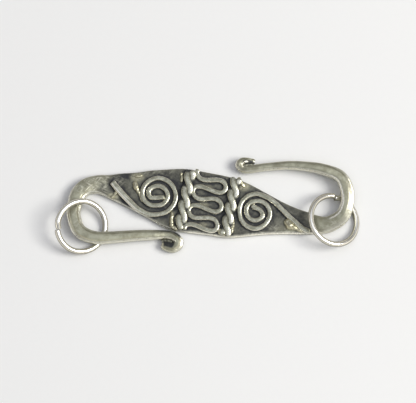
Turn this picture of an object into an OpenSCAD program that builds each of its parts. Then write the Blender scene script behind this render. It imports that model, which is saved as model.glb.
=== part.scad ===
// S-hook clasp of oxidised silver, lying on the flat back of its plate.
// X runs from the left hook to the right hook, Y across the plate, Z up.
// The origin is on the back of the plate, at its middle.

/* [Plate and hooks] */
// Thickness of the flat plate
plate_t = 1.2; // [1:0.05:1.4]
// Thickness of the forged bars of both hooks
bar_t = 1.45; // [1.2:0.05:1.5]
// Radius that rounds the upper edges of the plate
plate_edge_r = 0.25; // [0.15:0.01:0.3]
// Radius that rounds the upper edges of the bars
bar_edge_r = 0.42; // [0.3:0.01:0.5]

/* [Wirework] */
// Diameter of the spiral and serpentine wires
wire_d = 0.7; // [0.56:0.02:0.76]
// Diameter of one strand of a rope
strand_d = 0.84; // [0.7:0.01:0.88]
// Height of a rope as a share of the height of a round one, pressed flat before it is laid
rope_press = 0.74; // [0.6:0.01:1]
// Length of one full turn of a strand in the left rope
left_lay = 4.3; // [3.6:0.1:5]
// Length of one full turn of a strand in the right rope
right_lay = 4; // [3.6:0.1:5]
// Swing of the serpentine to each side of its line
wave_swing = 2.27; // [1.9:0.01:2.3]
// Length of plate that one wave of the serpentine takes
wave_pitch = 2.81; // [2.6:0.01:2.9]
// Depth to which wirework is sunk in its solder
sink = 0.08; // [0.04:0.01:0.12]

/* [Jump rings] */
// Outer diameter of a jump ring
ring_od = 8.2; // [8.17:0.01:8.22]
// Diameter of a jump ring's wire
ring_wire = 0.8; // [0.76:0.01:0.82]
// Open width of a jump ring's cut
ring_cut = 0.1; // [0.05:0.01:0.2]
// Tilt of the left ring as it lies
left_tilt = 25.5; // [25:0.5:26]
// Tilt of the right ring as it lies
right_tilt = 24.5; // [24:0.5:25]

/* [Hidden] */

silver_dark = [0.42, 0.42, 0.37];
silver_bright = [0.80, 0.79, 0.74];

// Places across a cut: x, y, width of the metal, height of its underside,
// and bar: 0 where the cut is plate, 1 where it is forged bar
left_hook = [
    [ -7.10, -5.78, 1.10, 0.20, 1],
    [ -6.37, -6.03, 1.34, 0.22, 1],
    [ -5.58, -6.27, 1.40, 0.28, 1],
    [ -4.86, -6.00, 1.40, 0.36, 1],
    [ -4.60, -5.44, 1.40, 0.45, 1],
    [ -4.90, -4.88, 1.34, 0.53, 1],
    [ -5.63, -4.48, 1.26, 0.60, 1],
    [ -6.66, -4.35, 1.24, 0.68, 1],
    [ -8.12, -4.42, 1.38, 0.78, 1],
    [-11.05, -4.55, 1.50, 0.90, 1],
    [-13.98, -4.78, 1.65, 0.97, 1],
    [-16.90, -4.84, 1.82, 0.95, 1],
    [-19.15, -3.78, 1.96, 0.80, 1],
    [-20.00, -1.39, 1.98, 0.60, 1],
    [-19.87,  0.07, 2.10, 0.45, 1],
    [-19.50,  1.46, 2.20, 0.33, 1],
    [-18.80,  2.38, 2.27, 0.22, 1],
    [-17.90,  2.96, 2.37, 0.12, 1],
    [-16.20,  3.16, 2.75, 0.04, 0.6],
];
plate = [
    [-14.70,  2.84, 3.47, 0, 0.2],
    [-13.20,  2.58, 4.42, 0, 0],
    [-11.05,  2.05, 5.70, 0, 0],
    [ -8.85,  1.62, 7.20, 0, 0],
    [ -6.66,  1.07, 8.56, 0, 0],
    [ -4.90,  0.85, 9.25, 0, 0],
    [ -3.00,  0.70, 9.40, 0, 0],
    [ -0.07,  0.25, 9.20, 0, 0],
    [  2.12, -0.14, 9.10, 0, 0],
    [  4.32, -0.40, 8.40, 0, 0],
    [  6.50, -0.79, 7.14, 0, 0],
    [  8.70, -1.32, 5.75, 0, 0],
    [ 10.90, -1.90, 4.50, 0, 0],
    [ 13.10, -2.39, 3.60, 0, 0],
    [ 14.30, -2.58, 3.20, 0, 0.2],
];
right_hook = [
    [15.40, -2.78, 2.66, 0.08, 0.6],
    [17.20, -2.82, 2.27, 0.35, 1],
    [19.20, -1.71, 2.10, 0.88, 1],
    [20.00,  0.37, 1.90, 1.38, 1],
    [19.90,  2.27, 1.90, 1.50, 1],
    [19.00,  4.10, 1.75, 1.48, 1],
    [16.80,  5.08, 1.56, 1.40, 1],
    [14.60,  5.58, 1.38, 1.30, 1],
    [11.60,  5.86, 1.19, 1.15, 1],
    [ 8.70,  5.70, 1.10, 1.00, 1],
    [ 6.95,  5.50, 1.10, 0.92, 1],
    [ 5.78,  5.30, 1.06, 0.85, 1],
    [ 4.74,  5.36, 1.09, 0.80, 1],
    [ 4.15,  5.93, 1.18, 0.78, 1],
    [ 4.50,  6.50, 1.10, 0.80, 1],
    [ 5.36,  6.60, 1.00, 0.85, 1],
    [ 6.50,  6.45, 0.80, 0.90, 1],
];
cuts_between_rows = 3;

// Ropes across the plate: x and y of each end, and the turn of its strands
left_rope_top = [-2.86, 5.10];
left_rope_foot = [-4.54, -3.60];
left_rope_turn = 70;
right_rope_top = [3.78, 3.95];
right_rope_foot = [2.10, -4.50];
right_rope_turn = 30;
strand_steps = 12;
strand_offset = 0.475 * strand_d;

// Serpentine: its line starts here and leans, its loops are rounded and sag
wave_start = [0.15, 3.73];
wave_lean = 0.22;
wave_round = 0.51;
wave_sag = 0.45;
wave_from = -110;
wave_to = 995;
wave_step = 13;

// Spirals: x and y of the tail, then angle and radius of the turns about
// the centre, then x and y of the inner end
left_tail = [
    [-14.40,  3.45],
    [-13.68,  2.56],
    [-12.51,  1.24],
    [-11.05, -0.22],
    [-10.32, -0.73],
    [ -9.59, -1.14],
    [ -8.85, -1.37],
];
left_centre = [-7.83, 1.39];
left_turns = [
    [270, 2.78],
    [360, 2.78],
    [450, 2.63],
    [530, 2.20],
    [580, 1.78],
    [630, 1.42],
    [720, 1.61],
    [810, 1.46],
    [870, 1.38],
];
left_inner_end = [
    [-8.85, 1.27],
    [-8.30, 1.10],
    [-6.66, 1.17],
];
right_tail = [
    [14.56, -3.95],
    [13.83, -3.66],
    [13.02, -3.12],
    [11.45, -1.66],
    [10.00, -0.20],
    [ 9.30,  0.45],
    [ 8.60,  0.95],
    [ 7.90,  1.32],
    [ 7.20,  1.58],
];
right_centre = [6.57, -0.95];
right_turns = [
    [ 90, 2.63],
    [180, 2.34],
    [270, 2.53],
    [360, 2.11],
    [450, 1.54],
    [540, 1.36],
    [630, 1.29],
    [690, 1.25],
];
right_inner_end = [
    [7.40, -0.90],
    [6.95, -0.55],
    [6.51, -0.37],
    [6.00,  0.00],
];
turn_step = 30;

// Metal that closes the inside of each hammered curl: x, y and height of
// each end, and thickness
curl_cores = [
    [-6.85, -5.12, 0.75, -5.40, -5.32, 0.70, 0.80],
    [ 4.95,  5.95, 1.35,  6.15,  5.99, 1.38, 0.60],
];

// Solder beads and spurs: x and y of each end, and thickness
beads = [
    [-11.00,  3.15, -10.90,  2.40, 0.66],
    [-10.90,  2.40, -10.32,  0.66, 0.30],
    [-13.90,  1.98, -14.25,  1.20, 0.50],
    [-10.90,  4.39, -10.10,  4.25, 0.42],
    [ -5.49, -0.66,  -5.40, -0.80, 0.60],
    [ -5.60, -1.20,  -5.64, -3.00, 0.40],
    [ -5.55, -3.15,  -5.30, -3.20, 0.80],
    [ 11.30, -2.60,  11.80, -3.10, 0.80],
    [ 11.63, -3.25,  12.66, -3.44, 0.45],
    [ 12.66, -3.44,  13.24, -3.90, 0.45],
    [  4.17,  3.75,   4.60,  3.15, 0.70],
    [  1.10, -3.60,   2.00, -4.20, 0.80],
];

// Rings: x and y of the centre, side that lies high, side that is cut
left_ring = [-18.82, -3.23];
left_ring_high = 148;
left_ring_cut = 188;
right_ring = [17.98, -2.27];
right_ring_high = 198;
right_ring_cut = 85;

// One point of a smooth curve through the rows of a table
function between(a, b, c, d, t) =
    ((2 * b) + (c - a) * t
    + (2 * a - 5 * b + 4 * c - d) * t * t
    + (3 * b - a - 3 * c + d) * t * t * t) / 2;

// The rows of a table with more rows worked out between them
function smooth(rows, steps) =
    let (last = len(rows) - 1)
    [
        for (i = [0 : last - 1], k = [0 : steps - 1])
            between(rows[max(i - 1, 0)], rows[i], rows[i + 1], rows[min(i + 2, last)], k / steps),
        rows[last]
    ];

// Direction of the run at row i, in degrees
function heading(rows, i) =
    let (a = rows[max(i - 1, 0)], b = rows[min(i + 1, len(rows) - 1)])
    atan2(b[1] - a[1], b[0] - a[0]);

// Outline of one cut through plate or bar, flat below, rounded above
function cut_outline(width, thick, edge_r) =
    let (r = min(edge_r, 0.32 * width), low = 0.4 * r, half = width / 2)
    [
        for (a = [-90, 0]) [half - low + low * cos(a), low + low * sin(a)],
        for (a = [0 : 30 : 90]) [half - r + r * cos(a), thick - r + r * sin(a)],
        for (a = [90 : 30 : 180]) [r - half + r * cos(a), thick - r + r * sin(a)],
        for (a = [180, 270]) [low - half + low * cos(a), low + low * sin(a)]
    ];

// One cut set in its place: square to the run on a bar, straight across on the plate
function cut_ring(rows, i) =
    let (
        row = rows[i],
        thick = min(plate_t + (bar_t - plate_t) * row[4], row[2]),
        edge_r = plate_edge_r + (bar_edge_r - plate_edge_r) * row[4],
        turn = heading(rows, i) * row[4],
        left = [-sin(turn), cos(turn)]
    )
    [
        for (p = cut_outline(row[2], thick, edge_r))
            [row[0] + left[0] * p[0], row[1] + left[1] * p[0], max(0, row[3]) + p[1]]
    ];

// Round cut through a wire that lies level
function wire_ring(path, i, d0, d1, z, sides) =
    let (
        turn = heading(path, i),
        r = (d0 + (d1 - d0) * i / (len(path) - 1)) / 2
    )
    [
        for (k = [0 : sides - 1])
            let (a = 360 * k / sides)
            [path[i][0] - sin(turn) * r * cos(a), path[i][1] + cos(turn) * r * cos(a), z + r * sin(a)]
    ];

// Points of a spiral's turns about its centre
function turn_points(centre, turns) =
    [
        for (a = [turns[0][0] : turn_step : turns[len(turns) - 1][0]])
            centre + lookup(a, turns) * [cos(a), sin(a)]
    ];

// Closed skin over a row of cuts that have the same number of points
module skin(cuts) {
    n = len(cuts[0]);
    last = (len(cuts) - 1) * n;
    polyhedron(
        points = [for (c = cuts, p = c) p],
        faces = [
            [for (k = [0 : n - 1]) k],
            [for (k = [n - 1 : -1 : 0]) last + k],
            for (i = [0 : n : last - n], k = [0 : n - 1])
                [i + k, i + n + k, i + n + (k + 1) % n],
            for (i = [0 : n : last - n], k = [0 : n - 1])
                [i + k, i + n + (k + 1) % n, i + (k + 1) % n]
        ],
        convexity = 10
    );
}

// Plate and both hooks, forged from one bar
module plate_and_hooks() {
    rows = smooth(concat(left_hook, plate, right_hook), cuts_between_rows);
    skin([for (i = [0 : len(rows) - 1]) cut_ring(rows, i)]);
}

// Round wire laid on the plate along a path
module laid_wire(path, d0 = wire_d, d1 = wire_d, sides = 6) {
    z = plate_t + wire_d / 2 - sink;
    skin([for (i = [0 : len(path) - 1]) wire_ring(path, i, d0, d1, z, sides)]);
}

// One strand that winds about the line from one point to another
module strand(top, foot, lay, turn, sides = 6) {
    run = norm(foot - top);
    along = [(foot - top)[0], (foot - top)[1], 0] / run;
    left = [-along[1], along[0], 0];
    up = [0, 0, 1];
    z = plate_t + strand_offset + strand_d / 2 - sink;
    rate = -2 * PI / lay;
    steps = ceil(strand_steps * run / lay);
    skin([
        for (i = [0 : steps])
            let (
                s = run * i / steps,
                a = turn - 360 * s / lay,
                out = cos(a) * left + sin(a) * up,
                ahead = along + strand_offset * rate * (cos(a) * up - sin(a) * left),
                across = cross(ahead / norm(ahead), out),
                middle = [top[0], top[1], z] + along * s + out * strand_offset
            )
            [
                for (k = [0 : sides - 1])
                    middle + strand_d / 2 * (cos(360 * k / sides) * out + sin(360 * k / sides) * across)
            ]
    ]);
}

// Two strands twisted into a rope and pressed flatter
module rope(top, foot, lay, turn) {
    foot_z = plate_t - sink;
    translate([0, 0, foot_z * (1 - rope_press)])
        scale([1, 1, rope_press])
        for (half = [0, 180]) strand(top, foot, lay, turn + half);
}

// Serpentine wire between the ropes
module serpentine() {
    laid_wire([
        for (u = [wave_from : wave_step : wave_to])
            let (down = wave_pitch * u / 360)
            wave_start + [
                wave_swing * sin(u) - wave_lean * down,
                wave_round * sin(2 * u) - wave_sag * sin(u) - down
            ]
    ]);
}

// Spiral with its tail
module spiral(tail, centre, turns, inner_end) {
    laid_wire(smooth(concat(tail, turn_points(centre, turns), inner_end), 2), wire_d * 1.15, wire_d);
}

// Solder bead or spur, drawn out between two places
module bead(row) {
    hull() {
        for (p = [[row[0], row[1]], [row[2], row[3]]])
            translate([p[0], p[1], plate_t + 0.1 * row[4]]) sphere(d = row[4], $fn = 10);
    }
}

// Core of a curl
module curl_core(row) {
    hull() {
        translate([row[0], row[1], row[2]]) sphere(d = row[6], $fn = 10);
        translate([row[3], row[4], row[5]]) sphere(d = row[6], $fn = 10);
    }
}

module s_hook() {
    color(silver_dark) union() {
        plate_and_hooks();
        for (row = curl_cores) curl_core(row);
        rope(left_rope_top, left_rope_foot, left_lay, left_rope_turn);
        rope(right_rope_top, right_rope_foot, right_lay, right_rope_turn);
        serpentine();
        spiral(left_tail, left_centre, left_turns, left_inner_end);
        spiral(right_tail, right_centre, right_turns, right_inner_end);
        for (row = beads) bead(row);
    }
}

// Jump ring that lies tilted, with its low side on the surface
module jump_ring(place, tilt, high, cut) {
    r = (ring_od - ring_wire) / 2;
    gap = ring_cut / r * 180 / PI;
    color(silver_bright)
        translate([place[0], place[1], ring_wire / 2 + r * sin(tilt)])
        rotate([0, 0, high])
        rotate([0, -tilt, 0])
        rotate([0, 0, cut - high + gap / 2])
        rotate_extrude(angle = 360 - gap, $fn = 96)
        translate([r, 0])
        circle(d = ring_wire, $fn = 48);
}

module jump_ring_left() {
    jump_ring(left_ring, left_tilt, left_ring_high, left_ring_cut);
}

module jump_ring_right() {
    jump_ring(right_ring, right_tilt, right_ring_high, right_ring_cut);
}

s_hook();
jump_ring_left();
jump_ring_right();
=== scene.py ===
import math

import bmesh
import bpy
from mathutils import Matrix, Vector, kdtree, noise


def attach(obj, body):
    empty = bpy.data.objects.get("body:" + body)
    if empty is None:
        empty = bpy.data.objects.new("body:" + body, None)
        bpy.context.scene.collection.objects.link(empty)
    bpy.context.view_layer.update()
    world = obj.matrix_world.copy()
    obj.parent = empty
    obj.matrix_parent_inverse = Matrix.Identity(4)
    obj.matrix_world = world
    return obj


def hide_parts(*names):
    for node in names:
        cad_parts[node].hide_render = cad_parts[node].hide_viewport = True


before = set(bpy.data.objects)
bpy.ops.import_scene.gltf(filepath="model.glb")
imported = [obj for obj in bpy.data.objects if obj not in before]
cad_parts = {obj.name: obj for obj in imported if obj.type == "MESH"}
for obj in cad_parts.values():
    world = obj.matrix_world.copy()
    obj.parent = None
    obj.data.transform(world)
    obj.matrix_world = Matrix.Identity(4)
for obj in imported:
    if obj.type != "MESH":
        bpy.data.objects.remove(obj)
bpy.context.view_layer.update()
print("frame loaded")

mm = 0.001  # tables and settings below are in millimetres, meshes in metres
seedShift = (17.3, 5.1)  # how far each seed moves through the noise
spotFade = (0.45, 1.15)  # a soft spot fades out between these shares of its size


# Small helpers

def smoothStep(value, low, high):  # 0 below low, 1 above high, soft between
    t = min(max((value - low) / (high - low), 0), 1)
    return t * t * (3 - 2 * t)


def mixed(a, b, t):  # a at 0, b at 1
    return a + (b - a) * t


def wobble(point, size, seed):  # smooth noise from -1 to 1, one lump per size
    shift = Vector((seed * seedShift[0], seed * seedShift[1], 0))
    return noise.noise(Vector((point[0], point[1], point[2])) / size + shift)


def inPlaces(x, y, places):  # strongest of some soft spots: x, y, half width, half height, strength
    best = 0
    for px, py, rx, ry, strength in places:
        away = math.hypot((x - px) / rx, (y - py) / ry)
        best = max(best, strength * (1 - smoothStep(away, *spotFade)))
    return best


def between(a, b, c, d, t):  # one row of a smooth curve from b to c
    return tuple(
        (2 * q + (r - p) * t + (2 * p - 5 * q + 4 * r - s) * t * t + (3 * q - p - 3 * r + s) * t ** 3) / 2
        for p, q, r, s in zip(a, b, c, d)
    )


def smoothRows(rows, steps):  # the same rows with more worked out between them
    last = len(rows) - 1
    out = []
    for i in range(last):
        for k in range(steps):
            before, after = rows[max(i - 1, 0)], rows[min(i + 2, last)]
            out.append(between(before, rows[i], rows[i + 1], after, k / steps))
    return out + [tuple(rows[last])]


def evenRows(rows, spacing):  # the same run with its rows set at an even spacing
    travelled = [0.0]
    for a, b in zip(rows, rows[1:]):
        travelled.append(travelled[-1] + math.hypot(b[0] - a[0], b[1] - a[1]))
    count = max(round(travelled[-1] / spacing), 2)
    out = []
    i = 0
    for k in range(count + 1):
        want = travelled[-1] * k / count
        while i < len(rows) - 2 and travelled[i + 1] < want:
            i += 1
        t = (want - travelled[i]) / max(travelled[i + 1] - travelled[i], 1e-9)
        out.append(tuple(mixed(p, q, t) for p, q in zip(rows[i], rows[i + 1])))
    return out


def headingOf(rows, i):  # direction of the run at one row
    a, b = rows[max(i - 1, 0)], rows[min(i + 1, len(rows) - 1)]
    return math.atan2(b[1] - a[1], b[0] - a[0])


def leftOf(turn):  # unit vector to the left of a run that heads this way
    return Vector((-math.sin(turn), math.cos(turn), 0))


def clipped(value):  # kept from 0 to 1
    return min(max(value, 0), 1)


def roundedTip(share, least):  # size of a run near its end: least at the end itself, 1 from share 1 on
    return mixed(least, 1, math.sqrt(max(1 - (1 - min(share, 1)) ** 2, 0)))


def relaxed(values, passes):  # evens out a run, its two ends stay
    for _ in range(passes):
        inner = [(a + 2 * b + c) / 4 for a, b, c in zip(values, values[1:], values[2:])]
        values = [values[0]] + inner + [values[-1]]
    return values


shadeNames = ("patinaAndShade", "edge", "solder", "brushed")  # painted on every piece, 0 to 1; the first also holds painted shade, and edge also holds painted highlights


def rolledSkin(rings, shades):  # a grid rolled up through the rings, closed at both ends and painted
    bm = bmesh.new()
    around, last = len(rings[0]), len(rings) - 1
    bmesh.ops.create_grid(bm, x_segments=last, y_segments=around, size=1)
    layers = [bm.verts.layers.float.new(name) for name in shadeNames]
    for v in bm.verts:
        i = round((v.co.x + 1) / 2 * last)
        j = round((v.co.y + 1) / 2 * around) % around
        v.co = rings[i][j] * mm
        for layer, value in zip(layers, shades[i][j]):
            v[layer] = value
    bmesh.ops.remove_doubles(bm, verts=bm.verts, dist=1e-8)
    bmesh.ops.holes_fill(bm, edges=[e for e in bm.edges if e.is_boundary])
    bmesh.ops.recalc_face_normals(bm, faces=bm.faces)
    return bm


def finishPiece(bm, name, material, node="s_hook"):
    for face in bm.faces:
        face.smooth = True
    mesh = bpy.data.meshes.new(name)
    bm.to_mesh(mesh)
    bm.free()
    mesh.materials.append(material)
    piece = bpy.data.objects.new(name, mesh)
    bpy.context.scene.collection.objects.link(piece)
    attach(piece, "root")
    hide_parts(node)
    print("made", name, len(mesh.polygons), "faces")


# Short forms for shader nodes

def addNode(tree, kind, **settings):
    node = tree.nodes.new(kind)
    for label, value in settings.items():
        setattr(node, label, value)
    return node


def plug(tree, node, key, source):  # a socket is linked, anything else is a value
    if isinstance(source, bpy.types.NodeSocket):
        tree.links.new(source, node.inputs[key])
    else:
        node.inputs[key].default_value = source


def feed(tree, node, **sources):  # by the names of its sockets, with _ for a space
    for label, source in sources.items():
        plug(tree, node, label.replace("_", " "), source)
    return node


def mathNode(tree, operation, a, b=0.5, c=None, clamp=False):
    node = addNode(tree, "ShaderNodeMath", operation=operation, use_clamp=clamp)
    plug(tree, node, 0, a)
    plug(tree, node, 1, b)
    if c is not None:
        plug(tree, node, 2, c)
    return node.outputs[0]


def mixColor(tree, factor, a, b):
    node = addNode(tree, "ShaderNodeMix", data_type="RGBA")
    for key, source in ((0, factor), (6, a), (7, b)):
        plug(tree, node, key, source)
    return node.outputs[2]


def mixValue(tree, factor, a, b):
    node = addNode(tree, "ShaderNodeMix", data_type="FLOAT")
    for key, source in ((0, factor), (2, a), (3, b)):
        plug(tree, node, key, source)
    return node.outputs[0]


def softRamp(tree, value, low, high):
    node = addNode(tree, "ShaderNodeMapRange", interpolation_type="SMOOTHSTEP")
    feed(tree, node, Value=value, From_Min=low, From_Max=high)
    return node.outputs[0]


def noiseNode(tree, vector, scale, detail, rough):
    node = addNode(tree, "ShaderNodeTexNoise")
    feed(tree, node, Vector=vector, Scale=scale, Detail=detail, Roughness=rough)
    return node.outputs["Fac"]


def objectPlace(tree):
    return addNode(tree, "ShaderNodeTexCoord").outputs["Object"]


def attribute(tree, name):
    return addNode(tree, "ShaderNodeAttribute", attribute_name=name).outputs["Fac"]


def nodeGroup(name, inputs, outputs):  # a tuple as default makes a colour socket
    group = bpy.data.node_groups.new(name, "ShaderNodeTree")
    for label, value in inputs.items():
        kind = "NodeSocketColor" if isinstance(value, tuple) else "NodeSocketFloat"
        group.interface.new_socket(label, in_out="INPUT", socket_type=kind).default_value = value
    for label, kind in outputs.items():
        group.interface.new_socket(label, in_out="OUTPUT", socket_type=kind)
    return group, group.nodes.new("NodeGroupInput").outputs, group.nodes.new("NodeGroupOutput")


def useGroup(tree, group, **values):
    return feed(tree, addNode(tree, "ShaderNodeGroup", node_tree=group), **values)


# Stage: camera at the photograph's angle, white paper, window light from the right

stageSet = {
    "pixelsPerMm": 6.833, "frameWidth": 416, "aim": (-0.37, 0.59, 1.2), "elevation": 80, "distance": 360,
    "sensor": 36, "paperSize": 3000, "paperDrop": 0.02,
    "keyPower": 2.6, "keySize": 320, "keyPlace": (380, -30, 465), "keyColor": (1.0, 0.98, 0.91),
    # the tent fades out by degrees from its axis, and tentOnPaper is what rough surfaces get of it
    "tent": (0.90, 0.92, 0.98), "tentAxis": (0.08, 0.00, 0.99), "tentCore": 16, "tentFade": 62,
    "tentOnPaper": (1.27, 1.30, 1.43), "paperCore": 2, "paperFade": 56,
    "room": (0.15, 0.142, 0.125), "horizon": (1.30, 1.24, 1.10), "horizonTop": 30, "horizonFull": 12,
    "horizonBack": 0.30, "frontFade": (-0.3, 0.7), "backdrop": 0.80, "clip": (0.01, 20),  # clip in metres
}
paperSet = {
    "tooth": 1500.0, "light": (0.905, 0.91, 0.915, 1), "shade": (0.885, 0.89, 0.90, 1),
    "rough": 0.9, "gloss": 0.2,
}


def addCamera(s):
    camera = bpy.data.objects.new("camera", bpy.data.cameras.new("camera"))
    bpy.context.scene.collection.objects.link(camera)
    tilt = math.radians(90 - s["elevation"])
    back = Vector((0, -math.sin(tilt), math.cos(tilt))) * s["distance"]
    camera.location = (Vector(s["aim"]) + back) * mm
    camera.rotation_euler = (tilt, 0, 0)
    camera.data.sensor_width = s["sensor"]
    camera.data.lens = s["sensor"] * s["distance"] / (s["frameWidth"] / s["pixelsPerMm"])
    camera.data.clip_start, camera.data.clip_end = s["clip"]
    bpy.context.scene.camera = camera


def addKeyLight(s):
    light = bpy.data.lights.new("keyLight", "AREA")
    light.shape = "DISK"
    light.energy = s["keyPower"]
    light.size = s["keySize"] * mm
    light.color = s["keyColor"]
    lamp = bpy.data.objects.new("keyLight", light)
    bpy.context.scene.collection.objects.link(lamp)
    lamp.location = Vector(s["keyPlace"]) * mm
    lamp.rotation_euler = (-Vector(s["keyPlace"])).to_track_quat("-Z", "Y").to_euler()


def addSky(s):  # a soft light tent overhead, a dim room round it and a pale horizon
    world = bpy.data.worlds.new("studio")
    bpy.context.scene.world = world
    world.use_nodes = True
    tree = world.node_tree
    split = addNode(tree, "ShaderNodeSeparateXYZ")
    way = addNode(tree, "ShaderNodeTexCoord").outputs["Generated"]
    plug(tree, split, 0, way)
    toTent = addNode(tree, "ShaderNodeVectorMath", operation="DOT_PRODUCT")
    plug(tree, toTent, 0, way)
    plug(tree, toTent, 1, tuple(Vector(s["tentAxis"]).normalized()))
    away = mathNode(tree, "ARCCOSINE", toTent.outputs["Value"])
    tent = softRamp(tree, away, math.radians(s["tentFade"]), math.radians(s["tentCore"]))
    height = mathNode(tree, "ARCSINE", split.outputs["Z"])
    band = softRamp(tree, height, math.radians(s["horizonTop"]), math.radians(s["horizonFull"]))
    front = mixValue(tree, softRamp(tree, split.outputs["Y"], *s["frontFade"]), 1.0, s["horizonBack"])
    walls = mixColor(tree, mathNode(tree, "MULTIPLY", band, front), s["room"] + (1,), s["horizon"] + (1,))
    mirrored = mixColor(tree, tent, walls, s["tent"] + (1,))
    spread = softRamp(tree, away, math.radians(s["paperFade"]), math.radians(s["paperCore"]))
    spread = mixColor(tree, spread, s["room"] + (1,), s["tentOnPaper"] + (1,))
    path = addNode(tree, "ShaderNodeLightPath")
    lit = mixColor(tree, path.outputs["Is Diffuse Ray"], mirrored, spread)
    shown = mixColor(tree, path.outputs["Is Camera Ray"], lit, (s["backdrop"],) * 3 + (1,))
    feed(tree, tree.nodes["Background"], Color=shown, Strength=1.0)


def makePaper(s):
    material = bpy.data.materials.new("whitePaper")
    material.use_nodes = True
    tree = material.node_tree
    shader = tree.nodes["Principled BSDF"]
    tooth = noiseNode(tree, objectPlace(tree), s["tooth"], 4.0, 0.6)
    feed(tree, shader, Base_Color=mixColor(tree, tooth, s["light"], s["shade"]), Roughness=s["rough"])
    shader.inputs["Specular IOR Level"].default_value = s["gloss"]
    return material


def addPaper(s, material):
    bm = bmesh.new()
    bmesh.ops.create_grid(bm, x_segments=2, y_segments=2, size=s["paperSize"] * mm / 2)
    bmesh.ops.translate(bm, verts=bm.verts, vec=(0, 0, -s["paperDrop"] * mm))
    mesh = bpy.data.meshes.new("paper")
    bm.to_mesh(mesh)
    bm.free()
    mesh.materials.append(material)
    paper = bpy.data.objects.new("paper", mesh)
    bpy.context.scene.collection.objects.link(paper)


bpy.context.scene.view_settings.view_transform = "Standard"
addCamera(stageSet)
addKeyLight(stageSet)
addSky(stageSet)
addPaper(stageSet, makePaper(paperSet))
print("stage ready")


# Finishes: oxidised silver with rubbed edges, painted shade and painted highlights, solder and bright wire

tarnishSet = {
    "fineScale": 4.3, "fineShare": 0.7, "middle": 0.85, "edgeKeepsOff": -0.8, "linesKeepOff": -0.35,
    "warmRange": (0.35, 0.65), "linesRubbed": 0.35, "solderRange": (0.25, 0.55),
}
scratchSet = {"turns": (0.0, 1.3), "lineRange": (0.52, 0.70)}


def makeTarnishGroup(s):  # mottled silver, dark under patina and painted shade, bright where rubbed and where highlights are painted, cream where solder ran
    group, given, out = nodeGroup(
        "tarnish",
        {"Metal": (0.3, 0.3, 0.24, 1), "Warm": (0.26, 0.25, 0.19, 1), "Dark": (0.05, 0.05, 0.05, 1),
         "Rubbed": (0.8, 0.8, 0.7, 1), "Cream": (0.7, 0.6, 0.45, 1), "Patina": 0.0, "Edge": 0.0,
         "Solder": 0.0, "Lines": 0.0, "Mottle Scale": 900.0, "Break Up": 0.4},
        {"Color": "NodeSocketColor", "Mask": "NodeSocketFloat"},
    )
    where = objectPlace(group)
    big = noiseNode(group, where, given["Mottle Scale"], 4.0, 0.6)
    fineScale = mathNode(group, "MULTIPLY", given["Mottle Scale"], s["fineScale"])
    fine = noiseNode(group, where, fineScale, 3.0, 0.65)
    lumps = mathNode(group, "SUBTRACT", big, s["middle"])
    lumps = mathNode(group, "MULTIPLY_ADD", fine, s["fineShare"], lumps)
    worn = mathNode(group, "MULTIPLY", given["Lines"], s["linesKeepOff"])
    worn = mathNode(group, "MULTIPLY_ADD", given["Edge"], s["edgeKeepsOff"], worn)
    mask = mathNode(group, "MULTIPLY_ADD", lumps, given["Break Up"], worn)
    mask = mathNode(group, "ADD", mask, given["Patina"], clamp=True)
    metal = mixColor(group, softRamp(group, big, *s["warmRange"]), given["Metal"], given["Warm"])
    bright = mathNode(group, "MULTIPLY", given["Lines"], s["linesRubbed"])
    bright = mathNode(group, "MAXIMUM", given["Edge"], bright)
    metal = mixColor(group, bright, metal, given["Rubbed"])
    color = mixColor(group, mask, metal, given["Dark"])
    ran = mathNode(group, "MULTIPLY", given["Solder"], softRamp(group, fine, *s["solderRange"]))
    plug(group, out, "Color", mixColor(group, ran, color, given["Cream"]))
    plug(group, out, "Mask", mathNode(group, "MULTIPLY", mask, mathNode(group, "SUBTRACT", 1.0, ran)))
    return group


def makeScratchGroup(s):  # crossing lines left by file and brush: a height, and where the lines lie
    group, given, out = nodeGroup(
        "scratches", {"Scale": 5000.0, "Stretch": 14.0, "Turn": 0.6},
        {"Height": "NodeSocketFloat", "Lines": "NodeSocketFloat"},
    )
    where = objectPlace(group)
    heights = []
    for offset in s["turns"]:
        turn = addNode(group, "ShaderNodeVectorRotate", rotation_type="Z_AXIS")
        feed(group, turn, Vector=where, Angle=mathNode(group, "ADD", given["Turn"], offset))
        split = addNode(group, "ShaderNodeSeparateXYZ")
        plug(group, split, 0, turn.outputs[0])
        join = addNode(group, "ShaderNodeCombineXYZ")
        long = mathNode(group, "DIVIDE", split.outputs["Y"], given["Stretch"])
        feed(group, join, X=split.outputs["X"], Y=long, Z=split.outputs["Z"])
        heights.append(noiseNode(group, join.outputs[0], given["Scale"], 2.0, 0.7))
    plug(group, out, "Height", mathNode(group, "ADD", heights[0], heights[1]))
    highest = mathNode(group, "MAXIMUM", heights[0], heights[1])
    plug(group, out, "Lines", softRamp(group, highest, *s["lineRange"]))
    return group


tarnishGroup = makeTarnishGroup(tarnishSet)
scratchGroup = makeScratchGroup(scratchSet)


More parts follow.
